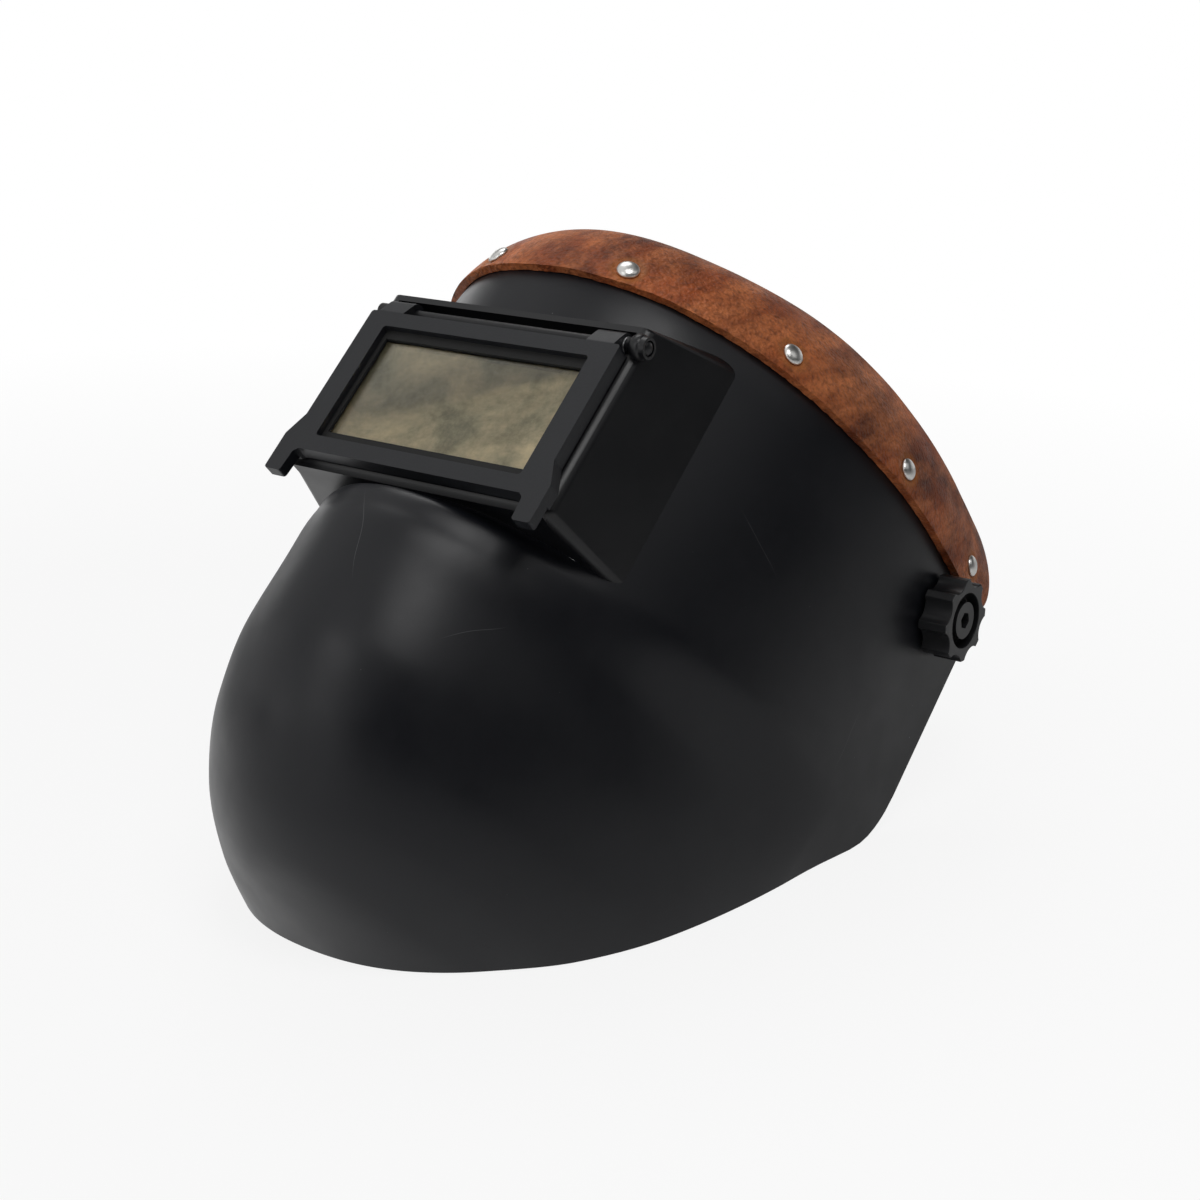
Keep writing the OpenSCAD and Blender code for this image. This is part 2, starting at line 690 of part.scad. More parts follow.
module ratchet_knob() {
    color("#202124") on_head() translate([0, 0, ratchet_z]) rotate([-90, 0, 0]) {
        difference() {
            translate([0, 0, ratchet_y[1] + 0.3]) cylinder(h = 10.5, r = 15);
            for (a = [0:30:359]) rotate([0, 0, a]) translate([17.2, 0, ratchet_y[1]]) cylinder(h = 12, r = 3.2);
        }
        translate([0, 0, 94.2]) cylinder(h = ratchet_y[1] + 1 - 94.2, r = 2.95);
    }
}

module rear_pad() {
    color("#2e2d2b") on_head() box([-30, 30], [ratchet_y[0] - 8, ratchet_y[0] - 3.4], [0, 40]);
}

shell();
lens_housing();
lift_frame();
hinge_pin();
hinge_washers();
filter_gasket();
cover_plate();
filter_plate();
filter_retainer();
safety_gasket();
safety_plate();
safety_retainer();
leather_band();
band_rivets();
rivet_washers();
knob_left();
knob_right();
knob_screw_left();
knob_screw_right();
outer_washers();
inner_washers();
pivot_nuts();
bracket_left();
bracket_right();
bracket_rivets();
headband();
sweatband();
crown_strap_left();
crown_strap_right();
crown_peg();
ratchet_housing();
ratchet_backplate();
ratchet_pinion();
ratchet_knob();
ratchet_screws();
rear_pad();
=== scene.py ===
import json
import math

import bmesh
import bpy
import numpy as np
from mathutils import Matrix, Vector


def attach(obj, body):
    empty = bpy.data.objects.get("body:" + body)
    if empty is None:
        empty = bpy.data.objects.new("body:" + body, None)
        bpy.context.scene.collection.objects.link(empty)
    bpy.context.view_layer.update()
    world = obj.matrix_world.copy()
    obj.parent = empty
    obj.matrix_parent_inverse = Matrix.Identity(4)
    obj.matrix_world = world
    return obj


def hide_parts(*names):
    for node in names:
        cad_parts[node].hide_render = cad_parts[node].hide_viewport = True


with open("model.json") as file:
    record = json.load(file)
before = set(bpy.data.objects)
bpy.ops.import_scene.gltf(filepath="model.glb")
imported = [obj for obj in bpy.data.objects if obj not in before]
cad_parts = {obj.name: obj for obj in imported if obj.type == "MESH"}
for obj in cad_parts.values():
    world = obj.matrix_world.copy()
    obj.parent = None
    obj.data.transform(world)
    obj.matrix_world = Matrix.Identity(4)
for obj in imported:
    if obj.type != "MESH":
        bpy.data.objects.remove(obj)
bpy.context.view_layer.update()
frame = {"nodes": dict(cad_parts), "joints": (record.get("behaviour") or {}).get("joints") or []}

NODES = frame["nodes"]
MM = 0.001

# ---------------------------------------------------------------------------
# Placing. Pieces are drawn as worn, in mm: X across the face, Y back from the
# window, Z up from the middle of the window. Two hinge lines of the record
# give the lean that the helmet rests at.
# ---------------------------------------------------------------------------
JOINT = {j["name"]: Vector(j["pos_m"]) / MM for j in frame["joints"]}
HINGE_WORN = Vector((0.0, 6.8, 37.2))
PIVOT_WORN = Vector((0.0, 190.0, 54.0))
lean_worn = math.atan2(PIVOT_WORN.z - HINGE_WORN.z, PIVOT_WORN.y - HINGE_WORN.y)
lean_rest = math.atan2(
    JOINT["harness_pivot"].z - JOINT["lift_hinge"].z,
    JOINT["harness_pivot"].y - JOINT["lift_hinge"].y,
)
TILT = lean_worn - lean_rest
RAISE = math.radians(60)  # of the shell from the harness
HINGE_REST = np.array(JOINT["lift_hinge"])


def turn(points, angle):
    """Points turned about X by an angle."""
    p = np.asarray(points, float)
    c, s = math.cos(angle), math.sin(angle)
    return np.stack([p[..., 0], p[..., 1] * c - p[..., 2] * s, p[..., 1] * s + p[..., 2] * c], -1)


def seated(points):
    """Worn millimetres to metres in the row's frame."""
    return (turn(np.asarray(points, float) - np.array(HINGE_WORN), -TILT) + HINGE_REST) * MM


def on_head(points):
    """Harness millimetres, round its own pivots, to worn millimetres."""
    return turn(points, RAISE) + np.array(PIVOT_WORN)


# ---------------------------------------------------------------------------
# Shell surface. Places along it, w, run from -2 at the rear edge on the -X side
# through 0 at the nose to 2 at the rear edge on the +X side.
# ---------------------------------------------------------------------------
SHELL_HALF, WALL, SIDE_START, SHELL_BACK, SHELL_TOP = 113.0, 3.0, 182.0, 222.5, 92.0
CURL_START, CURL_FRONT, CURL_SIDE = 60.0, 50.2, 84.8
CORNER = 48.0
LEATHER, LEATHER_GAP = 3.5, 0.15
BAND_LOW_FRONT, BAND_LOW_SIDE = 66.7, 72.7
BAND_CURL_FRONT, BAND_CURL_SIDE = 66.9, 34.5
BAND_BACK, BAND_END_ROUND = 225.6, 15.0
# Stations down the shell: height, front line, narrowing of the half width, sharpness of the nose
STATIONS = np.array([
    [60, 9, 0, 1], [-36, 9, 0, 1], [-66, -7, 4.3, 1.4], [-98, -5.8, 7, 1.26], [-125, 1.3, 11, 1.2],
    [-150, 17.3, 21.6, 1.09], [-170, 37.3, 40, 1.05], [-186, 80, 57, 0.85], [-200, 130, 60, 1],
], float)
# Shoulder of the snout: height, how far it is pushed forward
SHOULDER = np.array([[60, 0], [-36, 0], [-43, 10.2], [-52, 6], [-66, 0], [-200, 0]], float)
# Rivets on one side: place along the band, height
RIVETS = [(0.175, 75.0), (0.51, 80.8), (0.8, 81.0), (1.44, 84.0)]


def eased(table, z, col):
    """Column of a table at height z, eased from row to row without overshoot."""
    z = np.minimum(np.asarray(z, float), table[0, 0])
    h = np.diff(table[:, 0])
    d = np.diff(table[:, col]) / h
    m = np.zeros(len(table))
    for i in range(1, len(table) - 1):
        m[i] = 0 if d[i - 1] * d[i] <= 0 else 2 * d[i - 1] * d[i] / (d[i - 1] + d[i])
    i = np.clip(np.searchsorted(-table[:, 0], -z, side="left") - 1, 0, len(table) - 2)
    u = (z - table[i, 0]) / h[i]
    return ((2 * u**3 - 3 * u**2 + 1) * table[i, col] + (u**3 - 2 * u**2 + u) * h[i] * m[i]
            + (3 * u**2 - 2 * u**3) * table[i + 1, col] + (u**3 - u**2) * h[i] * m[i + 1])


def round_share(w, power):
    """0 at the nose, rising to 1 at the sides."""
    return np.sin(np.pi / 2 * np.minimum(1, np.abs(w))) ** power


def curl_radius(w):
    return CURL_FRONT + (CURL_SIDE - CURL_FRONT) * round_share(w, 2.95)


def plan(w, half, front, sharp, back):
    """Outline seen from above: round at the front, straight from the sides back."""
    a = np.clip(np.abs(w), 0, 1) * np.pi / 2
    x = np.sign(w) * half * np.sin(a)
    y = SIDE_START - (SIDE_START - front) * np.cos(a) ** sharp
    return x, y + (back - SIDE_START) * np.maximum(0, np.abs(w) - 1)


def skin(w, z, inset):
    """Shell surface at place w along it (-2 to 2) and height z."""
    w, z = np.broadcast_arrays(np.asarray(w, float), np.asarray(z, float))
    r, up = curl_radius(w), np.maximum(0, z - CURL_START)
    c = r - np.sqrt(r**2 - up**2) + inset
    push = np.where(np.abs(w) < 0.5, eased(SHOULDER, z, 1) * np.cos(np.pi * w) ** 2, 0)
    half = SHELL_HALF - eased(STATIONS, z, 2) - c
    x, y = plan(w, half, eased(STATIONS, z, 1) + c - push, eased(STATIONS, z, 3), SHELL_BACK)
    return np.stack([x, y, z], -1)


# Height of the window's middle above the surface that the helmet rests on
REST_HEIGHT = HINGE_REST[2] + HINGE_WORN.y * math.sin(TILT) - HINGE_WORN.z * math.cos(TILT)


def jaw_z(y):
    """Height of the flat jaw line at depth y."""
    return (y * math.sin(TILT) - REST_HEIGHT) / math.cos(TILT)


FOOT_HALVINGS = 26  # bring the foot within a hundred-thousandth of a millimetre


def foot_z(w, inset):
    """Height at which the column w meets the jaw line."""
    w = np.asarray(w, float)
    low, high = np.full(w.shape, STATIONS[-1, 0]), np.zeros(w.shape)
    for _ in range(FOOT_HALVINGS):
        mid = (low + high) / 2
        up = mid > jaw_z(skin(w, mid, inset)[..., 1])
        low, high = np.where(up, low, mid), np.where(up, mid, high)
    y = skin(w, 0.0, inset)[..., 1]
    cy = SHELL_BACK - CORNER
    cz = jaw_z(cy) + CORNER / math.cos(TILT)
    rim = np.where(y <= cy + CORNER * math.sin(TILT), jaw_z(y),
                   cz - np.sqrt(np.maximum(0, CORNER**2 - (y - cy) ** 2)))
    return np.where(np.abs(w) <= 1, mid, rim)


def curl_point(w, a, off, back):
    """Point over the brow curl at angle a from upright, raised by off."""
    r = curl_radius(w)
    c = r - (r + off) * np.cos(a)
    x, y = plan(w, SHELL_HALF - c, STATIONS[0, 1] + c, 1, back)
    return np.stack(np.broadcast_arrays(x, y, CURL_START + (r + off) * np.sin(a)), -1)


# ---------------------------------------------------------------------------
# Mesh helpers
# ---------------------------------------------------------------------------
def add_object(name, points, faces, parts=None, smooth_angle=40):
    """Object from points in metres; parts gives each face's material number."""
    mesh = bpy.data.meshes.new(name)
    mesh.from_pydata([tuple(p) for p in np.asarray(points).reshape(-1, 3)], [], faces)
    if parts is not None:
        mesh.polygons.foreach_set("material_index", parts)
    bm = bmesh.new()
    bm.from_mesh(mesh)
    bmesh.ops.recalc_face_normals(bm, faces=bm.faces)
    bm.to_mesh(mesh)
    bm.free()
    mesh.polygons.foreach_set("use_smooth", [True] * len(mesh.polygons))
    mesh.set_sharp_from_angle(angle=math.radians(smooth_angle))
    obj = bpy.data.objects.new(name, mesh)
    bpy.context.scene.collection.objects.link(obj)
    return obj


def quads(rows, cols, wrap_rows=False, wrap_cols=False, start=0):
    """Faces of a grid of points, row by row."""
    out = []
    for i in range(rows if wrap_rows else rows - 1):
        for j in range(cols if wrap_cols else cols - 1):
            a, b = start + i * cols + j, start + i * cols + (j + 1) % cols
            k = (i + 1) % rows
            out.append((a, b, start + k * cols + (j + 1) % cols, start + k * cols + j))
    return out


def modifier(obj, kind, **values):
    m = obj.modifiers.new(kind.title(), kind)
    for key, value in values.items():
        setattr(m, key, value)
    return m


def bake_modifiers(obj):
    """Turns the modifiers into the mesh itself."""
    graph = bpy.context.evaluated_depsgraph_get()
    mesh = bpy.data.meshes.new_from_object(obj.evaluated_get(graph))
    obj.modifiers.clear()
    old, obj.data = obj.data, mesh
    bpy.data.meshes.remove(old)


def round_edges(obj, width):
    """Rounds the sharp edges by a width in mm."""
    modifier(obj, "WELD", merge_threshold=0.01 * MM)
    modifier(obj, "BEVEL", width=width * MM, segments=3, limit_method="ANGLE",
             angle_limit=math.radians(60), harden_normals=True, use_clamp_overlap=True)


def noise3(p, seed):
    """Smooth noise from a fixed sum of waves, -1 to 1."""
    rng = np.random.default_rng(seed)
    p = np.asarray(p, float)
    total = np.zeros(p.shape[:-1])
    for octave in range(3):
        for _ in range(6):
            k = rng.normal(size=3)
            k *= 2.0**octave / np.linalg.norm(k)
            total += np.sin(p @ k + rng.uniform(0, 2 * np.pi)) / 2.0**octave
    return total / 6


# ---------------------------------------------------------------------------
# Materials
# ---------------------------------------------------------------------------
HAIR_SWAY = 0.012  # metres that a scratch wavers over


class Paint:
    """A node material with one principled shader and a few short hands."""

    def __init__(self, name):
        self.mat = bpy.data.materials.new(name)
        self.mat.use_nodes = True
        self.tree = self.mat.node_tree
        self.tree.nodes.clear()
        self.out = self.node("ShaderNodeOutputMaterial")
        self.bsdf = self.node("ShaderNodeBsdfPrincipled")
        self.link(self.bsdf.outputs[0], self.out.inputs[0])
        self.place = self.node("ShaderNodeTexCoord").outputs["Object"]

    def node(self, kind, **values):
        n = self.tree.nodes.new(kind)
        for key, value in values.items():
            setattr(n, key, value)
        return n

    def link(self, a, b):
        self.tree.links.new(a, b)

    def set(self, **values):
        """Fixed values of the shader, with _ for a space in a socket's name."""
        for key, value in values.items():
            self.bsdf.inputs[key.replace("_", " ")].default_value = value

    def vector(self, how, a, b=None):
        """Vector maths on a socket and a second socket or fixed vector."""
        n = self.node("ShaderNodeVectorMath", operation=how)
        self.link(a, n.inputs[0])
        if isinstance(b, tuple):
            n.inputs[1].default_value = b
        elif b is not None:
            self.link(b, n.inputs[1])
        return n

    def stretched(self, scale, turn_by):
        """Coordinates that stretch a texture."""
        n = self.node("ShaderNodeMapping")
        n.inputs["Scale"].default_value = scale
        n.inputs["Rotation"].default_value = turn_by
        self.link(self.place, n.inputs["Vector"])
        return n.outputs[0]

    def noise(self, scale, detail=2.0, rough=0.5, vector=None, warp=0.0):
        n = self.node("ShaderNodeTexNoise")
        n.inputs["Scale"].default_value = scale
        n.inputs["Detail"].default_value = detail
        n.inputs["Roughness"].default_value = rough
        n.inputs["Distortion"].default_value = warp
        self.link(vector or self.place, n.inputs["Vector"])
        return n.outputs["Fac"]

    def cells(self, scale, feature="F1"):
        n = self.node("ShaderNodeTexVoronoi", feature=feature)
        n.inputs["Scale"].default_value = scale
        self.link(self.place, n.inputs["Vector"])
        return n

    def math(self, how, a, b=0.0):
        n = self.node("ShaderNodeMath", operation=how)
        for socket, value in zip(n.inputs, (a, b)):
            if isinstance(value, (int, float)):
                socket.default_value = value
            else:
                self.link(value, socket)
        return n.outputs[0]

    def span(self, value, low, high, to_low=0.0, to_high=1.0):
        """Value carried from the span low to high on to another span, and held at its ends."""
        n = self.node("ShaderNodeMapRange")
        n.inputs["From Min"].default_value = low
        n.inputs["From Max"].default_value = high
        n.inputs["To Min"].default_value = to_low
        n.inputs["To Max"].default_value = to_high
        self.link(value, n.inputs["Value"])
        return n.outputs[0]

    def mix(self, share, a, b):
        """Colour a, passing to colour b as share goes from 0 to 1."""
        n = self.node("ShaderNodeMix", data_type="RGBA")
        for socket, value in ((n.inputs[0], share), (n.inputs[6], a), (n.inputs[7], b)):
            if isinstance(value, (int, float)):
                socket.default_value = value
            elif isinstance(value, tuple):
                socket.default_value = (*value, 1.0)
            else:
                self.link(value, socket)
        return n.outputs[2]

    def bump(self, height, strength, distance, normal=None):
        n = self.node("ShaderNodeBump")
        n.inputs["Strength"].default_value = strength
        n.inputs["Distance"].default_value = distance
        self.link(height, n.inputs["Height"])
        if normal:
            self.link(normal, n.inputs["Normal"])
        return n.outputs[0]

    def colour(self, value):
        self.link(value, self.bsdf.inputs["Base Color"])

    def rough(self, value):
        self.link(value, self.bsdf.inputs["Roughness"])

    def normal(self, value):
        self.link(value, self.bsdf.inputs["Normal"])

    def noise_colour(self, scale):
        n = self.node("ShaderNodeTexNoise")
        n.inputs["Scale"].default_value = scale
        n.inputs["Detail"].default_value = 1.0
        self.link(self.place, n.inputs["Vector"])
        return n.outputs["Color"]

    def hair(self, middle, across, reach, width=0.00012):
        """1 on a fine wavering scratch through middle, square to across."""
        sway = self.vector("SCALE", self.noise_colour(22))
        sway.inputs["Scale"].default_value = HAIR_SWAY
        at = self.vector("ADD", self.place, sway.outputs[0])
        centre = tuple(c + HAIR_SWAY / 2 for c in middle)
        off = self.vector("SUBTRACT", at.outputs[0], centre).outputs[0]
        aside = self.vector("DOT_PRODUCT", off, across).outputs["Value"]
        far = self.vector("LENGTH", off).outputs["Value"]
        line = self.span(self.math("ABSOLUTE", aside), width, width * 0.4)
        return self.math("MULTIPLY", line, self.span(far, reach, reach * 0.5))

    def specks(self, scale, size, share):
        """1 on small round specks in a share of the cells."""
        v = self.cells(scale)
        near = self.span(v.outputs["Distance"], size, size * 0.5)
        red = self.node("ShaderNodeSeparateColor")
        self.link(v.outputs["Color"], red.inputs[0])
        return self.math("MULTIPLY", near, self.math("GREATER_THAN", red.outputs[0], 1 - share))


def plastic(name, base, roughness, grain=1500, grain_depth=0.00003, dust=0.12, hairs=(),
            light=(0.16, 0.16, 0.165), gloss=0.42):
    """Moulded plastic with fine grain, dust specks and scratches in a lighter tone."""
    p = Paint(name)
    p.set(Specular_IOR_Level=gloss)
    cloud = p.noise(14, 3, 0.6)
    tone = p.mix(cloud, tuple(c * 0.8 for c in base), tuple(c * 1.25 for c in base))
    fine = p.noise(grain, 2, 0.6)
    tone = p.mix(p.span(fine, 0.35, 0.75, 0, 0.35), tone, tuple(c * 1.9 for c in base))
    marks = p.specks(70, 0.022, dust)
    marks = p.math("MAXIMUM", marks, p.specks(230, 0.035, dust * 0.4))
    for middle, across, reach, strength in hairs:
        marks = p.math("MAXIMUM", marks, p.math("MULTIPLY", p.hair(middle, across, reach), strength))
    p.colour(p.mix(marks, tone, light))
    p.rough(p.span(p.noise(35, 3, 0.6), 0.3, 0.7, roughness - 0.04, roughness + 0.05))
    p.normal(p.bump(fine, 0.5, grain_depth))
    return p


def metal(name, base, roughness):
    """Plated metal with faint smudges."""
    p = Paint(name)
    p.set(Metallic=1.0)
    p.colour(p.mix(p.noise(120, 3, 0.6), tuple(c * 0.86 for c in base), base))
    p.rough(p.span(p.noise(260, 4, 0.65), 0.3, 0.75, roughness, roughness + 0.12))
    p.normal(p.bump(p.noise(900, 3, 0.6), 0.15, 0.00004))
    return p


def hairs_on_shell(*lines):
    """Scratches from places on the shell: w, height, slant, reach in mm, strength."""
    out = []
    for w, z, slant, reach, strength in lines:
        here, beside, above = (seated(skin(a, b, 0.0)) for a, b in ((w, z), (w + 0.01, z), (w, z + 1.0)))
        side = (beside - here) / np.linalg.norm(beside - here)
        up = (above - here) / np.linalg.norm(above - here)
        across = math.cos(slant) * side + math.sin(slant) * up
        out.append((tuple(here), tuple(across), reach * MM, strength))
    return out


SHELL_PLASTIC = plastic("shell_plastic", (0.0036, 0.0040, 0.0062), 0.40, hairs=hairs_on_shell(
    (0.02, -62, 0.5, 22, 0.45), (0.62, 12, 1.2, 16, 0.3), (0.30, -78, -0.7, 12, 0.3),
    (-0.22, -96, 0.9, 10, 0.25), (0.95, -20, 0.1, 14, 0.25),
))
HOUSING_PLASTIC = plastic("housing_plastic", (0.0036, 0.0038, 0.005), 0.36, dust=0.06, gloss=0.5)
FRAME_PLASTIC = plastic("frame_plastic", (0.0065, 0.0072, 0.0095), 0.47, grain=1100,
                        grain_depth=0.00007, dust=0.16, gloss=0.5)
KNOB_PLASTIC = plastic("knob_plastic", (0.009, 0.0092, 0.0102), 0.34, dust=0.05)
HARNESS_PLASTIC = plastic("harness_plastic", (0.016, 0.016, 0.0175), 0.5, dust=0.03)
BLACK_STEEL = plastic("black_steel", (0.012, 0.012, 0.0135), 0.36, dust=0.02)
RUBBER = plastic("black_rubber", (0.009, 0.009, 0.009), 0.75, dust=0.02)
WHITE_PLASTIC = plastic("white_plastic", (0.55, 0.53, 0.47), 0.45, dust=0.0, light=(0.6, 0.58, 0.5))
NICKEL = metal("nickel", (0.86, 0.85, 0.82), 0.3)
STEEL = metal("steel", (0.56, 0.56, 0.57), 0.3)


STRIP_Z = 21.8  # height, as worn, at which the filter plate's dark strip starts


def lens_coat():
    """Bronze mirror coat whose light and dark clouds are painted blurry reflection, with a plain dark
    strip along the plate's top edge.
    """
    p = Paint("filter_mirror")
    p.set(Metallic=0.55)
    # The broad, streaky and fine clouds below are painted reflection: light and dark patches of a blurry
    # room mirrored in the coat
    broad = p.noise(30, 5, 0.62, warp=0.5)
    cloud = p.noise(75, 5, 0.65, p.stretched((0.6, 1.2, 1.0), (0.5, 0.4, 0.6)))
    fine = p.noise(420, 5, 0.7)
    tone = p.mix(p.span(broad, 0.36, 0.62), (0.27, 0.25, 0.155), (0.80, 0.66, 0.41))
    tone = p.mix(p.span(cloud, 0.44, 0.68, 0, 0.6), tone, (0.20, 0.175, 0.10))
    tone = p.mix(p.span(fine, 0.4, 0.75, 0, 0.3), tone, (0.85, 0.72, 0.46))
    spot = p.specks(150, 0.03, 0.06)
    tone = p.mix(spot, tone, (0.05, 0.045, 0.03))
    up = seated((0, 0, 1)) - seated((0, 0, 0))
    up /= np.linalg.norm(up)
    level = p.vector("DOT_PRODUCT", p.place, tuple(up)).outputs["Value"]
    edge = float(seated((0, 0, STRIP_Z)) @ up)
    p.colour(p.mix(p.span(level, edge, edge + 0.0006), tone, (0.022, 0.019, 0.016)))
    p.rough(p.span(p.noise(150, 4, 0.6), 0.3, 0.7, 0.34, 0.52))
    p.normal(p.bump(cloud, 0.2, 0.0005))
    return p


def clear_glass():
    p = Paint("clear_glass")
    p.set(Transmission_Weight=1.0, IOR=1.45)
    p.colour(p.mix(p.specks(120, 0.02, 0.04), (0.97, 0.98, 0.975), (0.8, 0.8, 0.78)))
    p.rough(p.span(p.noise(90, 4, 0.6), 0.45, 0.75, 0.02, 0.08))
    return p


def leather_face():
    p = Paint("leather_face")
    blot = p.noise(26, 5, 0.62, warp=0.4)
    # Lighter stretched streaks: painted sheen, laid over the leather's own uneven tone
    sheen_streak = p.noise(60, 4, 0.6, p.stretched((1.0, 0.35, 1.2), (0.8, 0, 0)))
    pores = p.cells(800, "SMOOTH_F1").outputs["Distance"]
    tone = p.mix(p.span(blot, 0.36, 0.64), (0.085, 0.018, 0.006), (0.42, 0.100, 0.028))
    tone = p.mix(p.span(sheen_streak, 0.42, 0.68, 0, 0.8), tone, (0.74, 0.25, 0.09))
    tone = p.mix(p.span(p.noise(330, 3, 0.7), 0.46, 0.72, 0, 0.6), tone, (0.085, 0.022, 0.009))
    tone = p.mix(p.span(pores, 0.45, 0.8, 0, 0.5), tone, (0.08, 0.023, 0.011))
    rub = p.node("ShaderNodeAttribute", attribute_name="rub").outputs["Fac"]
    tone = p.mix(p.math("MULTIPLY", rub, 0.75), tone, (0.42, 0.15, 0.04))
    p.colour(tone)
    p.rough(p.span(p.noise(80, 4, 0.6), 0.3, 0.7, 0.42, 0.62))
    p.set(Specular_IOR_Level=0.22)
    crease = p.noise(420, 5, 0.7, p.stretched((1.0, 0.6, 1.3), (0.5, 0.2, 0)))
    first = p.bump(pores, 0.8, 0.0007)
    p.normal(p.bump(crease, 0.7, 0.0009, first))
    return p


def leather_cut():
    p = Paint("leather_cut")
    strand = p.noise(900, 6, 0.75, p.stretched((0.5, 0.5, 2.2), (0.8, 0, 0)))
    tone = p.mix(p.span(strand, 0.3, 0.7), (0.07, 0.024, 0.009), (0.78, 0.30, 0.075))
    tone = p.mix(p.span(p.noise(160, 3, 0.6), 0.52, 0.7, 0, 0.8), tone, (0.09, 0.03, 0.01))
    p.colour(tone)
    p.set(Roughness=0.85)
    p.normal(p.bump(strand, 0.9, 0.0006))
    return p


def cloth(name, low, high):
    """Fuzzy woven cloth between two tones."""
    p = Paint(name)
    pitch = 1400
    weave = p.node("ShaderNodeTexWave", wave_type="BANDS", bands_direction="X")
    weave.inputs["Scale"].default_value = pitch / 6.0
    weave.inputs["Distortion"].default_value = 1.5
    p.link(p.place, weave.inputs["Vector"])
    fuzz = p.noise(pitch, 4, 0.7)
    p.colour(p.mix(fuzz, low, high))
    p.set(Roughness=0.92, Sheen_Weight=0.35, Sheen_Roughness=0.6)
    first = p.bump(weave.outputs["Fac"], 0.35, 0.00025)
    p.normal(p.bump(fuzz, 0.6, 0.0003, first))
    return p


FILTER = lens_coat()
GLASS = clear_glass()
LEATHER_FACE = leather_face()
LEATHER_CUT = leather_cut()
PAD_CLOTH = cloth("pad_cloth", (0.012, 0.012, 0.0125), (0.045, 0.044, 0.043))


def dress(obj, *paints):
    """Gives a piece its materials in place of any it had."""
    obj.data.materials.clear()
    for p in paints:
        obj.data.materials.append(p.mat)


# ---------------------------------------------------------------------------
# CAD nodes that keep their own mesh: material, and rounding of the edges in mm
# ---------------------------------------------------------------------------
CARRIED = {
    "lens_housing": (HOUSING_PLASTIC, 0.5), "lift_frame": (FRAME_PLASTIC, 0.9),
    "hinge_pin": (HOUSING_PLASTIC, 0.3), "hinge_washers": (STEEL, 0.1),
    "filter_gasket": (RUBBER, 0.2), "cover_plate": (GLASS, 0.15), "filter_plate": (FILTER, 0.2),
    "filter_retainer": (STEEL, 0.2), "safety_gasket": (RUBBER, 0.15),
    "safety_plate": (GLASS, 0.15), "safety_retainer": (STEEL, 0.2), "rivet_washers": (STEEL, 0.15),
    "knob_left": (KNOB_PLASTIC, 0.5), "knob_right": (KNOB_PLASTIC, 0.5),
    "knob_screw_left": (BLACK_STEEL, 0.4), "knob_screw_right": (BLACK_STEEL, 0.4),
    "outer_washers": (RUBBER, 0.2), "inner_washers": (WHITE_PLASTIC, 0.25),
    "pivot_nuts": (STEEL, 0.3), "bracket_left": (HARNESS_PLASTIC, 0.6),
    "bracket_right": (HARNESS_PLASTIC, 0.6), "bracket_rivets": (HARNESS_PLASTIC, 0.3),
    "headband": (HARNESS_PLASTIC, 0.3), "crown_strap_left": (HARNESS_PLASTIC, 0.3),
    "crown_strap_right": (HARNESS_PLASTIC, 0.3), "crown_peg": (HARNESS_PLASTIC, 0.3),
    "ratchet_housing": (HARNESS_PLASTIC, 0.6), "ratchet_backplate": (HARNESS_PLASTIC, 0.4),
    "ratchet_pinion": (WHITE_PLASTIC, 0.2), "ratchet_knob": (KNOB_PLASTIC, 0.3),
    "ratchet_screws": (STEEL, 0.15),
}
for node, (paint, edge) in CARRIED.items():
    obj = NODES[node]
    dress(obj, paint)
    obj.data.polygons.foreach_set("use_smooth", [True] * len(obj.data.polygons))
    round_edges(obj, edge)
    modifier(obj, "WEIGHTED_NORMAL", keep_sharp=True, weight=80)

# ---------------------------------------------------------------------------
# Shell: one smooth moulding with its window cut and rounded rims
# ---------------------------------------------------------------------------
WINDOW_CUT = (-60.5, 60.5), (-20, 60), (-36, 45)  # X, Y and Z, as worn


def cutter_box(name, x, y, z):
    corners = seated([(a, b, c) for a in x for b in y for c in z])
    faces = [(0, 1, 3, 2), (4, 6, 7, 5), (0, 4, 5, 1), (2, 3, 7, 6), (0, 2, 6, 4), (1, 5, 7, 3)]
    return add_object(name, corners, faces)


def shell_piece():
    side = np.array([1.12, 1.25, 1.4, 1.55, 1.7, 1.8, 1.87, 1.92, 1.95, 1.97, 1.985, 2.0])
    w = np.concatenate([-side[::-1], np.linspace(-1, 1, 161), side])
    # Share of the way down each column: curl and brow, snout shoulder, chin
    share = np.concatenate([
        np.linspace(0, 0.32, 26)[:-1], np.linspace(0.32, 0.60, 56)[:-1], np.linspace(0.60, 1, 56),
    ])
    sheets = []
    for inset in (0.0, WALL):
        foot = foot_z(w, inset)
        z = SHELL_TOP + (foot[None, :] - SHELL_TOP) * share[:, None]
        sheets.append(skin(w[None, :], z, inset))
    rows, cols = sheets[0].shape[:2]
    both = np.concatenate([sheets[0], sheets[1][::-1]])
    faces = quads(2 * rows, cols, wrap_rows=True)
    for j in (0, cols - 1):
        for i in range(rows - 1):
            k = 2 * rows - 1 - i
            faces.append((i * cols + j, (i + 1) * cols + j, (k - 1) * cols + j, k * cols + j))
    obj = add_object("shell_moulding", seated(both), faces)
    cut = cutter_box("window_cut", *WINDOW_CUT)
    modifier(obj, "BOOLEAN", object=cut, operation="DIFFERENCE", solver="EXACT")
    bake_modifiers(obj)
    bpy.data.objects.remove(cut)
    obj.data.set_sharp_from_angle(angle=math.radians(40))
    modifier(obj, "BEVEL", width=0.8 * MM, segments=3, limit_method="ANGLE",
             angle_limit=math.radians(50))
    dress(obj, SHELL_PLASTIC)
    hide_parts("shell")
    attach(obj, "helmet")


shell_piece()

# ---------------------------------------------------------------------------
# Rivets and leather band
# ---------------------------------------------------------------------------


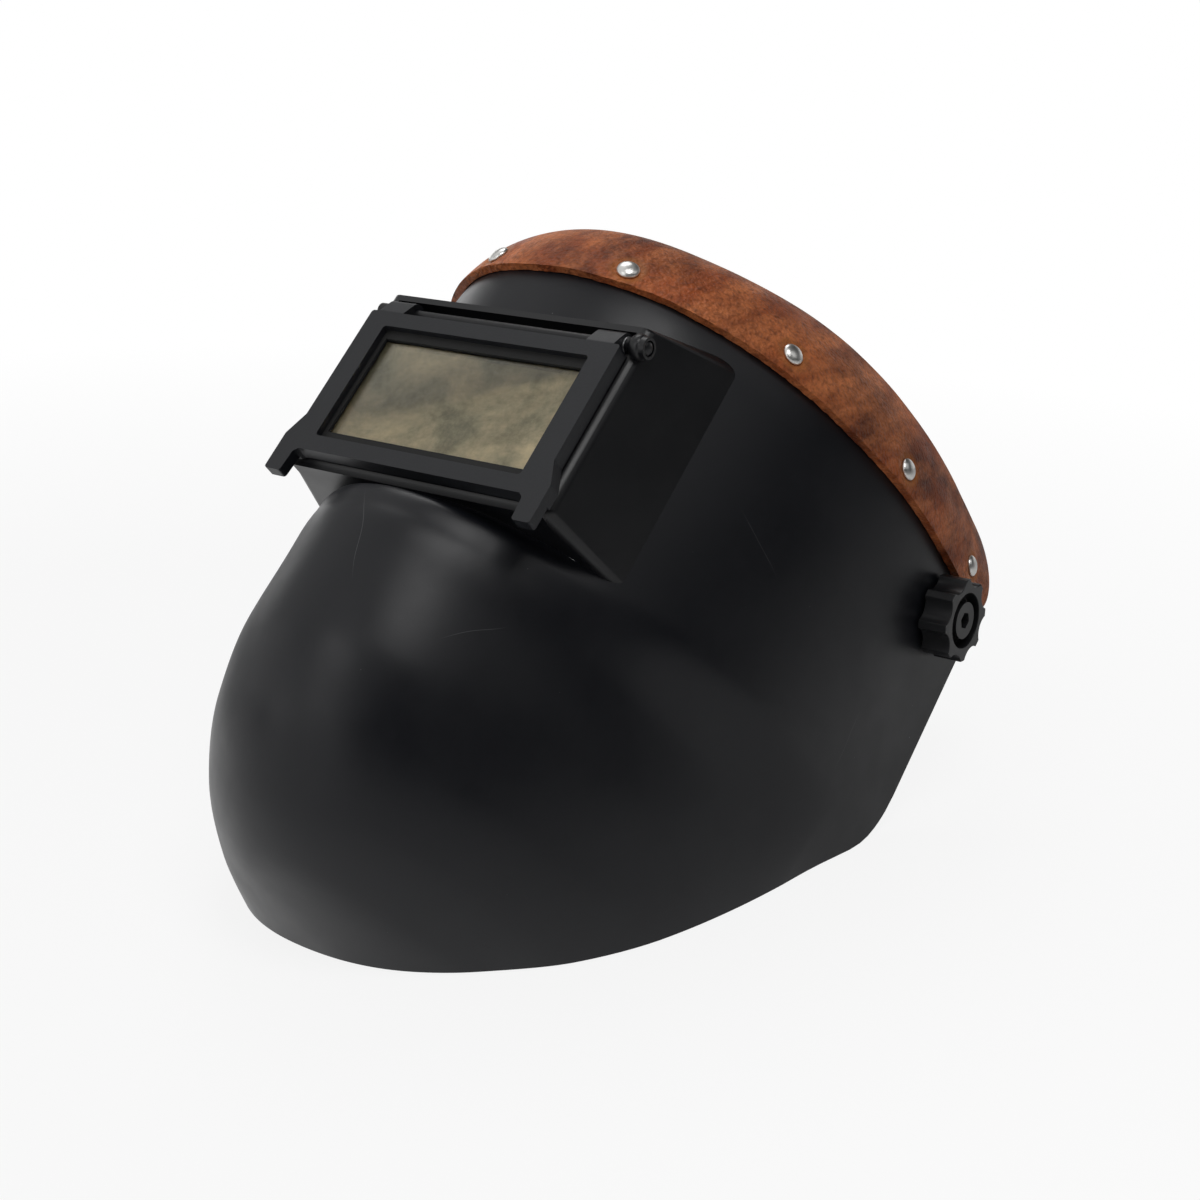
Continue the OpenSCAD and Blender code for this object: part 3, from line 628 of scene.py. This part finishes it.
def rivet_frames():
    """Middle on the shell and outward direction of each rivet, as worn."""
    out = []
    for s in (-1, 1):
        for w, z in RIVETS:
            a = math.asin((z - CURL_START) / float(curl_radius(w)))
            at = [curl_point(np.array(s * w + dw), a + da, 0.0, SHELL_BACK)
                  for dw, da in ((0, 0), (-0.01, 0), (0.01, 0), (0, -0.02), (0, 0.02))]
            n = np.cross(at[2] - at[1], at[4] - at[3])
            out.append((at[0], n / np.linalg.norm(n)))
    return out


def band_point(w, u, off):
    """Point on the band at place w and share u of its depth, raised by off from the shell."""
    side = np.sin(np.pi / 2 * np.minimum(1, np.abs(w) / 0.6)) ** 1.3
    lower = BAND_LOW_FRONT + (BAND_LOW_SIDE - BAND_LOW_FRONT) * side
    low = np.arcsin((lower - CURL_START) / (curl_radius(w) + LEATHER))
    high = np.radians(BAND_CURL_FRONT + (BAND_CURL_SIDE - BAND_CURL_FRONT) * round_share(w, 2.9))
    end = BAND_BACK - BAND_END_ROUND * (1 - np.sqrt(np.maximum(0, 1 - (2 * u - 1) ** 2)))
    return curl_point(w, low + (high - low) * u, off, end)


def unit(vectors):
    return vectors / np.linalg.norm(vectors, axis=-1, keepdims=True)


# How far each rivet presses the leather in and the ring round it stands up, and how far out, in mm
DENT, DENT_REACH = 0.9, 5.6
RIDGE, RIDGE_REACH = 0.22, 7.6


def leather_piece():
    """Band as a ring of points round its section, carried along the brow."""
    w = np.concatenate([np.linspace(-2, -1, 60)[:-1], np.linspace(-1, 1, 380), np.linspace(1, 2, 60)[1:]])
    face_u, back_u = np.linspace(0, 1, 44), np.linspace(0, 1, 44)[::-4]
    top, base = LEATHER_GAP + LEATHER, LEATHER_GAP
    edge = [0.06, 0.3, 0.7, 0.94]
    ring = [(u, 0.0) for u in face_u] + [(1.0, t) for t in edge] + [(u, 1.0) for u in back_u]
    ring += [(0.0, t) for t in edge[::-1]]
    u, t = (np.array(column)[:, None] for column in zip(*ring))
    # The lower edge is cut by hand, so it wanders a little
    sway = 0.010 * np.sin(w * 9.1 + 0.6) + 0.006 * np.sin(w * 23.0 + 1.1)
    uu = np.clip(np.where(u < 0.5, u + (0.5 - u) * 2 * sway, u), 0, 1)
    ww = np.broadcast_to(w, uu.shape)
    pts = band_point(ww, uu, top - (top - base) * t)
    out = unit(pts - band_point(ww, uu, -2.0))
    rub = np.zeros(pts.shape[:2])
    face = t < 0.5
    # The face swells a little, is pressed in under each rivet and is rubbed round it
    lift = 0.16 * noise3(pts / 16.0, 3) + 0.07 * noise3(pts / 5.0, 4)
    for mid, n in rivet_frames():
        d = np.linalg.norm(pts - mid - n * top, axis=-1)
        lift -= DENT * np.exp(-((d / DENT_REACH) ** 4))
        lift += RIDGE * np.exp(-(((d - RIDGE_REACH) / 1.8) ** 2))
        rub += np.exp(-(((d - DENT_REACH) / 1.7) ** 2)) * 0.8
    rough_edge = ((u < 0.001) | (u > 0.999)) & (t > 0.02) & (t < 0.98)
    ragged = np.where(rough_edge, 0.28 * noise3(pts / 1.1, 8) + 0.2 * noise3(pts / 0.5, 9), 0)
    above, below = np.clip(uu + 0.01, 0, 1), np.clip(uu - 0.01, 0, 1)
    along = unit(band_point(ww, above, top) - band_point(ww, below, top))
    pts = pts + out * (lift * face)[..., None] + along * (ragged * np.sign(u - 0.5))[..., None]
    rows, cols = pts.shape[:2]
    faces = quads(rows, cols, wrap_rows=True)
    far_edge, back_end = len(face_u) + len(edge), len(face_u) + len(edge) + len(back_u)
    parts = []
    for i in range(rows):
        cut = len(face_u) - 1 <= i < far_edge or i >= back_end - 1
        parts += [1 if cut else 0] * (cols - 1)
    for j in (0, cols - 1):
        faces.append(tuple(i * cols + j for i in range(rows)))
        parts.append(1)
    obj = add_object("leather_brow_band", seated(pts), faces, parts, 60)
    attribute = obj.data.attributes.new("rub", "FLOAT", "POINT")
    attribute.data.foreach_set("value", np.clip(rub * face, 0, 1).ravel())
    dress(obj, LEATHER_FACE, LEATHER_CUT)
    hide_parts("leather_band")
    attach(obj, "helmet")


def lathe(profile, middle, axis, steps=40):
    """Points and faces of a turned shape, radius and height along axis."""
    axis = np.asarray(axis, float)
    side = np.cross(axis, [0.31, 0.2, 0.93])
    side /= np.linalg.norm(side)
    other = np.cross(axis, side)
    angles = np.linspace(0, 2 * np.pi, steps, endpoint=False)
    ring = np.cos(angles)[:, None] * side + np.sin(angles)[:, None] * other
    pts = [np.asarray(middle) + r * ring + h * axis for r, h in profile[1:-1]]
    pts = np.concatenate([[np.asarray(middle) + profile[0][1] * axis], np.concatenate(pts),
                          [np.asarray(middle) + profile[-1][1] * axis]])
    faces = quads(len(profile) - 2, steps, wrap_cols=True, start=1)
    last = len(pts) - 1
    rim = last - steps
    faces += [(0, 1 + (i + 1) % steps, 1 + i) for i in range(steps)]
    faces += [(last, rim + i, rim + (i + 1) % steps) for i in range(steps)]
    return pts, faces


def merged(shapes):
    """Points and faces of several shapes as one."""
    pts, faces = [], []
    for p, f in shapes:
        start = sum(len(q) for q in pts)
        pts.append(p)
        faces += [tuple(i + start for i in face) for face in f]
    return np.concatenate(pts), faces


RIVET_HEAD_R, RIVET_DOME, RIVET_SHANK_R = 4.4, 2.1, 1.6


def rivet_piece():
    """Domed rivets, each with its head on the leather and its tail inside the shell."""
    seat, back = LEATHER_GAP + LEATHER - 0.55, -WALL - 1.1
    dome_angles = np.radians([90, 80, 68, 55, 42, 30, 18, 8, 0])
    head, shank = RIVET_HEAD_R, RIVET_SHANK_R
    profile = [(head * math.cos(a), seat + 0.35 + RIVET_DOME * math.sin(a)) for a in dome_angles]
    profile += [(head - 0.05, seat + 0.1), (head - 0.3, seat - 0.1)]
    profile += [(shank + 0.1, seat - 0.1), (shank, seat - 0.4), (shank, back), (shank + 0.8, back)]
    profile += [(shank + 0.9, back - 0.25), (shank + 0.6, back - 0.5), (0.0, back - 0.35)]
    pts, faces = merged([lathe(profile, mid, n) for mid, n in rivet_frames()])
    obj = add_object("domed_rivets", seated(pts), faces)
    dress(obj, NICKEL)
    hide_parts("band_rivets")
    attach(obj, "helmet")


leather_piece()
rivet_piece()

# ---------------------------------------------------------------------------
# Pads of the harness
# ---------------------------------------------------------------------------
HEAD_HALF, HEAD_LONG = 77.0, 95.0
BROW_SPAN = math.radians(132)
PAD_MIDDLE_Z = 20.0


def loop_point(a, off):
    """Point of the headband's loop at angle a from the brow, set out by off."""
    return np.stack([(HEAD_HALF + off) * np.sin(a), 3 - (HEAD_LONG + off) * np.cos(a)], -1)


def padded_piece(name, node, centre, across, height, thick, seams):
    """Stuffed strip: centre(s) on its back, across(s) the way it bulges, s from 0 to 1."""
    steps, ring = 150, 44
    s = np.linspace(0, 1, steps)
    a = np.linspace(0, 2 * np.pi, ring, endpoint=False)
    # Both ends round off, and each seam pinches the strip
    edge = np.minimum(s, 1 - s) / 0.03
    fade = np.sqrt(np.clip(1 - (1 - np.clip(edge, 0, 1)) ** 2, 0.02, 1))
    pinch = np.ones(steps)
    for k in seams:
        pinch -= 0.42 * np.exp(-(((s - k) / 0.006) ** 2))
    up = np.sign(np.sin(a)) * np.abs(np.sin(a)) ** 0.55
    out = np.sign(np.cos(a)) * np.abs(np.cos(a)) ** 0.7
    stitched = 1 - 0.45 * np.exp(-(((np.abs(up) - 0.84) / 0.035) ** 2))
    body = (0.5 + 0.5 * out * stitched)[None, :] * (thick * pinch * fade)[:, None]
    lumps = noise3(np.stack(np.broadcast_arrays(s[:, None] * 60, np.cos(a), up * 4), -1), 12)
    body += 0.12 * thick * lumps * np.maximum(0, out)
    pts = centre(s)[:, None, :] + across(s)[:, None, :] * body[..., None]
    pts[..., 2] += up[None, :] * (height / 2 * (0.90 + 0.10 * fade))[:, None]
    faces = quads(steps, ring, wrap_cols=True)
    faces += [tuple(range(ring)), tuple(range((steps - 1) * ring, steps * ring))]
    obj = add_object(name, seated(on_head(pts)), faces, smooth_angle=70)
    modifier(obj, "SUBSURF", levels=1, render_levels=1)
    dress(obj, PAD_CLOTH)
    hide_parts(node)
    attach(obj, "harness")


def brow_centre(s):
    xy = loop_point((s - 0.5) * BROW_SPAN, -0.5)
    return np.concatenate([xy, np.full((len(s), 1), PAD_MIDDLE_Z)], 1)


def brow_across(s):
    a = (s - 0.5) * BROW_SPAN
    inward = unit(loop_point(a, -1.0) - loop_point(a, 0.0))
    return np.concatenate([inward, np.zeros((len(s), 1))], 1)


def rear_centre(s):
    return np.stack([-30 + 60 * s, np.full(len(s), 87.4), np.full(len(s), PAD_MIDDLE_Z)], -1)


def rear_across(s):
    return np.broadcast_to([0.0, -1.0, 0.0], (len(s), 3))


padded_piece("brow_pad", "sweatband", brow_centre, brow_across, 34.0, 4.6, np.linspace(0.125, 0.875, 7))
padded_piece("nape_pad", "rear_pad", rear_centre, rear_across, 40.0, 4.4, (0.33, 0.67))

# ---------------------------------------------------------------------------
# Floor, light and camera
# ---------------------------------------------------------------------------
# White sheet in the reflections: its middle, how far it is white and where it ends, in metres
SHEET_MIDDLE, SHEET_WHITE, SHEET_EDGE = (-0.20, -0.12, 0.0), 0.18, 0.40
# The floor glows to the camera by a share that grows with the distance from the sheet's middle
GLOW_NEAR, GLOW_FAR, GLOW_SHARE = 0.3, 1.0, 0.86


def stage_floor():
    """Pale floor that takes the shadow, and a white sheet in what the helmet mirrors."""
    bpy.ops.mesh.primitive_plane_add(size=60.0, location=(0, 0, -0.0004))
    floor = bpy.context.object
    floor.name = "studio_floor"
    p = Paint("studio_floor")
    p.colour(p.mix(p.noise(3, 2, 0.5), (0.80, 0.80, 0.80), (0.84, 0.84, 0.84)))
    p.set(Roughness=0.8)
    glow = p.node("ShaderNodeEmission")
    glow.inputs["Strength"].default_value = 1.0
    path = p.node("ShaderNodeLightPath")
    share = p.node("ShaderNodeMixShader")
    reach = p.vector("DISTANCE", p.place, SHEET_MIDDLE).outputs["Value"]
    sheet = p.span(reach, SHEET_EDGE, SHEET_WHITE)
    mirrored = p.math("MAXIMUM", path.outputs["Is Glossy Ray"], path.outputs["Is Transmission Ray"])
    seen = p.math("MAXIMUM", path.outputs["Is Camera Ray"], p.math("MULTIPLY", mirrored, sheet))
    p.link(p.math("MULTIPLY", seen, p.span(reach, GLOW_NEAR, GLOW_FAR, GLOW_SHARE, 1.0)), share.inputs[0])
    p.link(p.bsdf.outputs[0], share.inputs[1])
    p.link(glow.outputs[0], share.inputs[2])
    p.link(share.outputs[0], p.out.inputs[0])
    floor.data.materials.append(p.mat)


# Directions of the pale backdrop and ceiling panel that the helmet mirrors, and their brightness
BACKDROP_SIDE = (-0.602, 0.799, 0.0)
CEILING_SIDE = (-0.576, -0.235, 0.785)
BACKDROP_LEVEL, CEILING_LEVEL, ROOM_LEVEL = 0.9, 0.66, 0.02


def studio_world():
    """White to the camera; to everything else a dim room with a backdrop and a ceiling panel."""
    world = bpy.data.worlds.new("studio")
    bpy.context.scene.world = world
    world.use_nodes = True
    t = world.node_tree
    t.nodes.clear()
    out, back = t.nodes.new("ShaderNodeOutputWorld"), t.nodes.new("ShaderNodeBackground")
    path, coord = t.nodes.new("ShaderNodeLightPath"), t.nodes.new("ShaderNodeTexCoord")
    split = t.nodes.new("ShaderNodeSeparateXYZ")
    t.links.new(coord.outputs["Generated"], split.inputs[0])

    def fade(value, low, high):
        n = t.nodes.new("ShaderNodeMapRange")
        n.interpolation_type = "SMOOTHSTEP"
        n.inputs["From Min"].default_value, n.inputs["From Max"].default_value = low, high
        t.links.new(value, n.inputs["Value"])
        return n.outputs[0]

    def join(how, a, b):
        n = t.nodes.new("ShaderNodeMath")
        n.operation = how
        for socket, value in zip(n.inputs, (a, b)):
            if isinstance(value, float):
                socket.default_value = value
            else:
                t.links.new(value, socket)
        return n.outputs[0]

    def along(side):
        n = t.nodes.new("ShaderNodeVectorMath")
        n.operation = "DOT_PRODUCT"
        t.links.new(coord.outputs["Generated"], n.inputs[0])
        n.inputs[1].default_value = side
        return n.outputs["Value"]

    # The backdrop fades out to its sides and above a low height; the ceiling panel has a soft edge
    wall = join("MULTIPLY", fade(along(BACKDROP_SIDE), 0.1, 0.75), fade(split.outputs["Z"], 0.42, 0.18))
    ceiling = join("MULTIPLY", fade(along(CEILING_SIDE), 0.70, 0.97), CEILING_LEVEL)
    mirrored = join("MAXIMUM", path.outputs["Is Glossy Ray"], path.outputs["Is Transmission Ray"])
    level = join("MAXIMUM", join("MULTIPLY", join("MULTIPLY", mirrored, wall), BACKDROP_LEVEL), ROOM_LEVEL)
    level = join("MAXIMUM", level, ceiling)
    t.links.new(join("MAXIMUM", path.outputs["Is Camera Ray"], level), back.inputs[0])
    t.links.new(back.outputs[0], out.inputs[0])


SOFTBOX_SIZE, SOFTBOX_AWAY = 0.85, 1.7
SOFTBOX_AIM = Vector((0, -0.02, 0.1))


def softbox(name, azimuth, height, power):
    """Round softbox aimed at the helmet from an azimuth and height in degrees."""
    a, e = math.radians(azimuth), math.radians(height)
    toward = Vector((math.sin(a) * math.cos(e), -math.cos(a) * math.cos(e), math.sin(e)))
    lamp = bpy.data.lights.new(name, "AREA")
    lamp.shape, lamp.size, lamp.energy = "DISK", SOFTBOX_SIZE, power
    obj = bpy.data.objects.new(name, lamp)
    obj.location = SOFTBOX_AIM + toward * SOFTBOX_AWAY
    obj.rotation_euler = (-toward).to_track_quat("-Z", "Y").to_euler()
    bpy.context.scene.collection.objects.link(obj)


# Softboxes: azimuth and height in degrees, watts
LAMPS = {
    "top_right": (60, 62, 8.0), "top_left": (222, 58, 5.0), "front": (0, 38, 3.2), "right": (108, 38, 1.3),
    "low_front": (0, 12, 1.8), "low_front_left": (330, 12, 1.9), "low_left": (300, 12, 1.3),
    "low_back_left": (240, 12, 1.5),
}
stage_floor()
studio_world()
for name, (azimuth, height, power) in LAMPS.items():
    softbox(name, azimuth, height, power)

# Camera: the way that it looks, and its place from the middle of the window in mm
CAMERA_AZIMUTH, CAMERA_ELEVATION = math.radians(37.32), math.radians(17.98)
CAMERA_FROM_WINDOW = np.array([472.6, -529.9, 152.5])
window_middle = seated([0.0, 0.0, 0.0])
camera = bpy.data.objects.new("camera", bpy.data.cameras.new("camera"))
bpy.context.scene.collection.objects.link(camera)
camera.data.lens, camera.data.sensor_width = 60.0, 36.0
camera.location = window_middle + CAMERA_FROM_WINDOW * MM
look = Vector((
    -math.sin(CAMERA_AZIMUTH) * math.cos(CAMERA_ELEVATION),
    math.cos(CAMERA_AZIMUTH) * math.cos(CAMERA_ELEVATION),
    -math.sin(CAMERA_ELEVATION),
))
camera.rotation_euler = look.to_track_quat("-Z", "Y").to_euler()
bpy.context.scene.camera = camera
bpy.context.scene.view_settings.view_transform = "Standard"
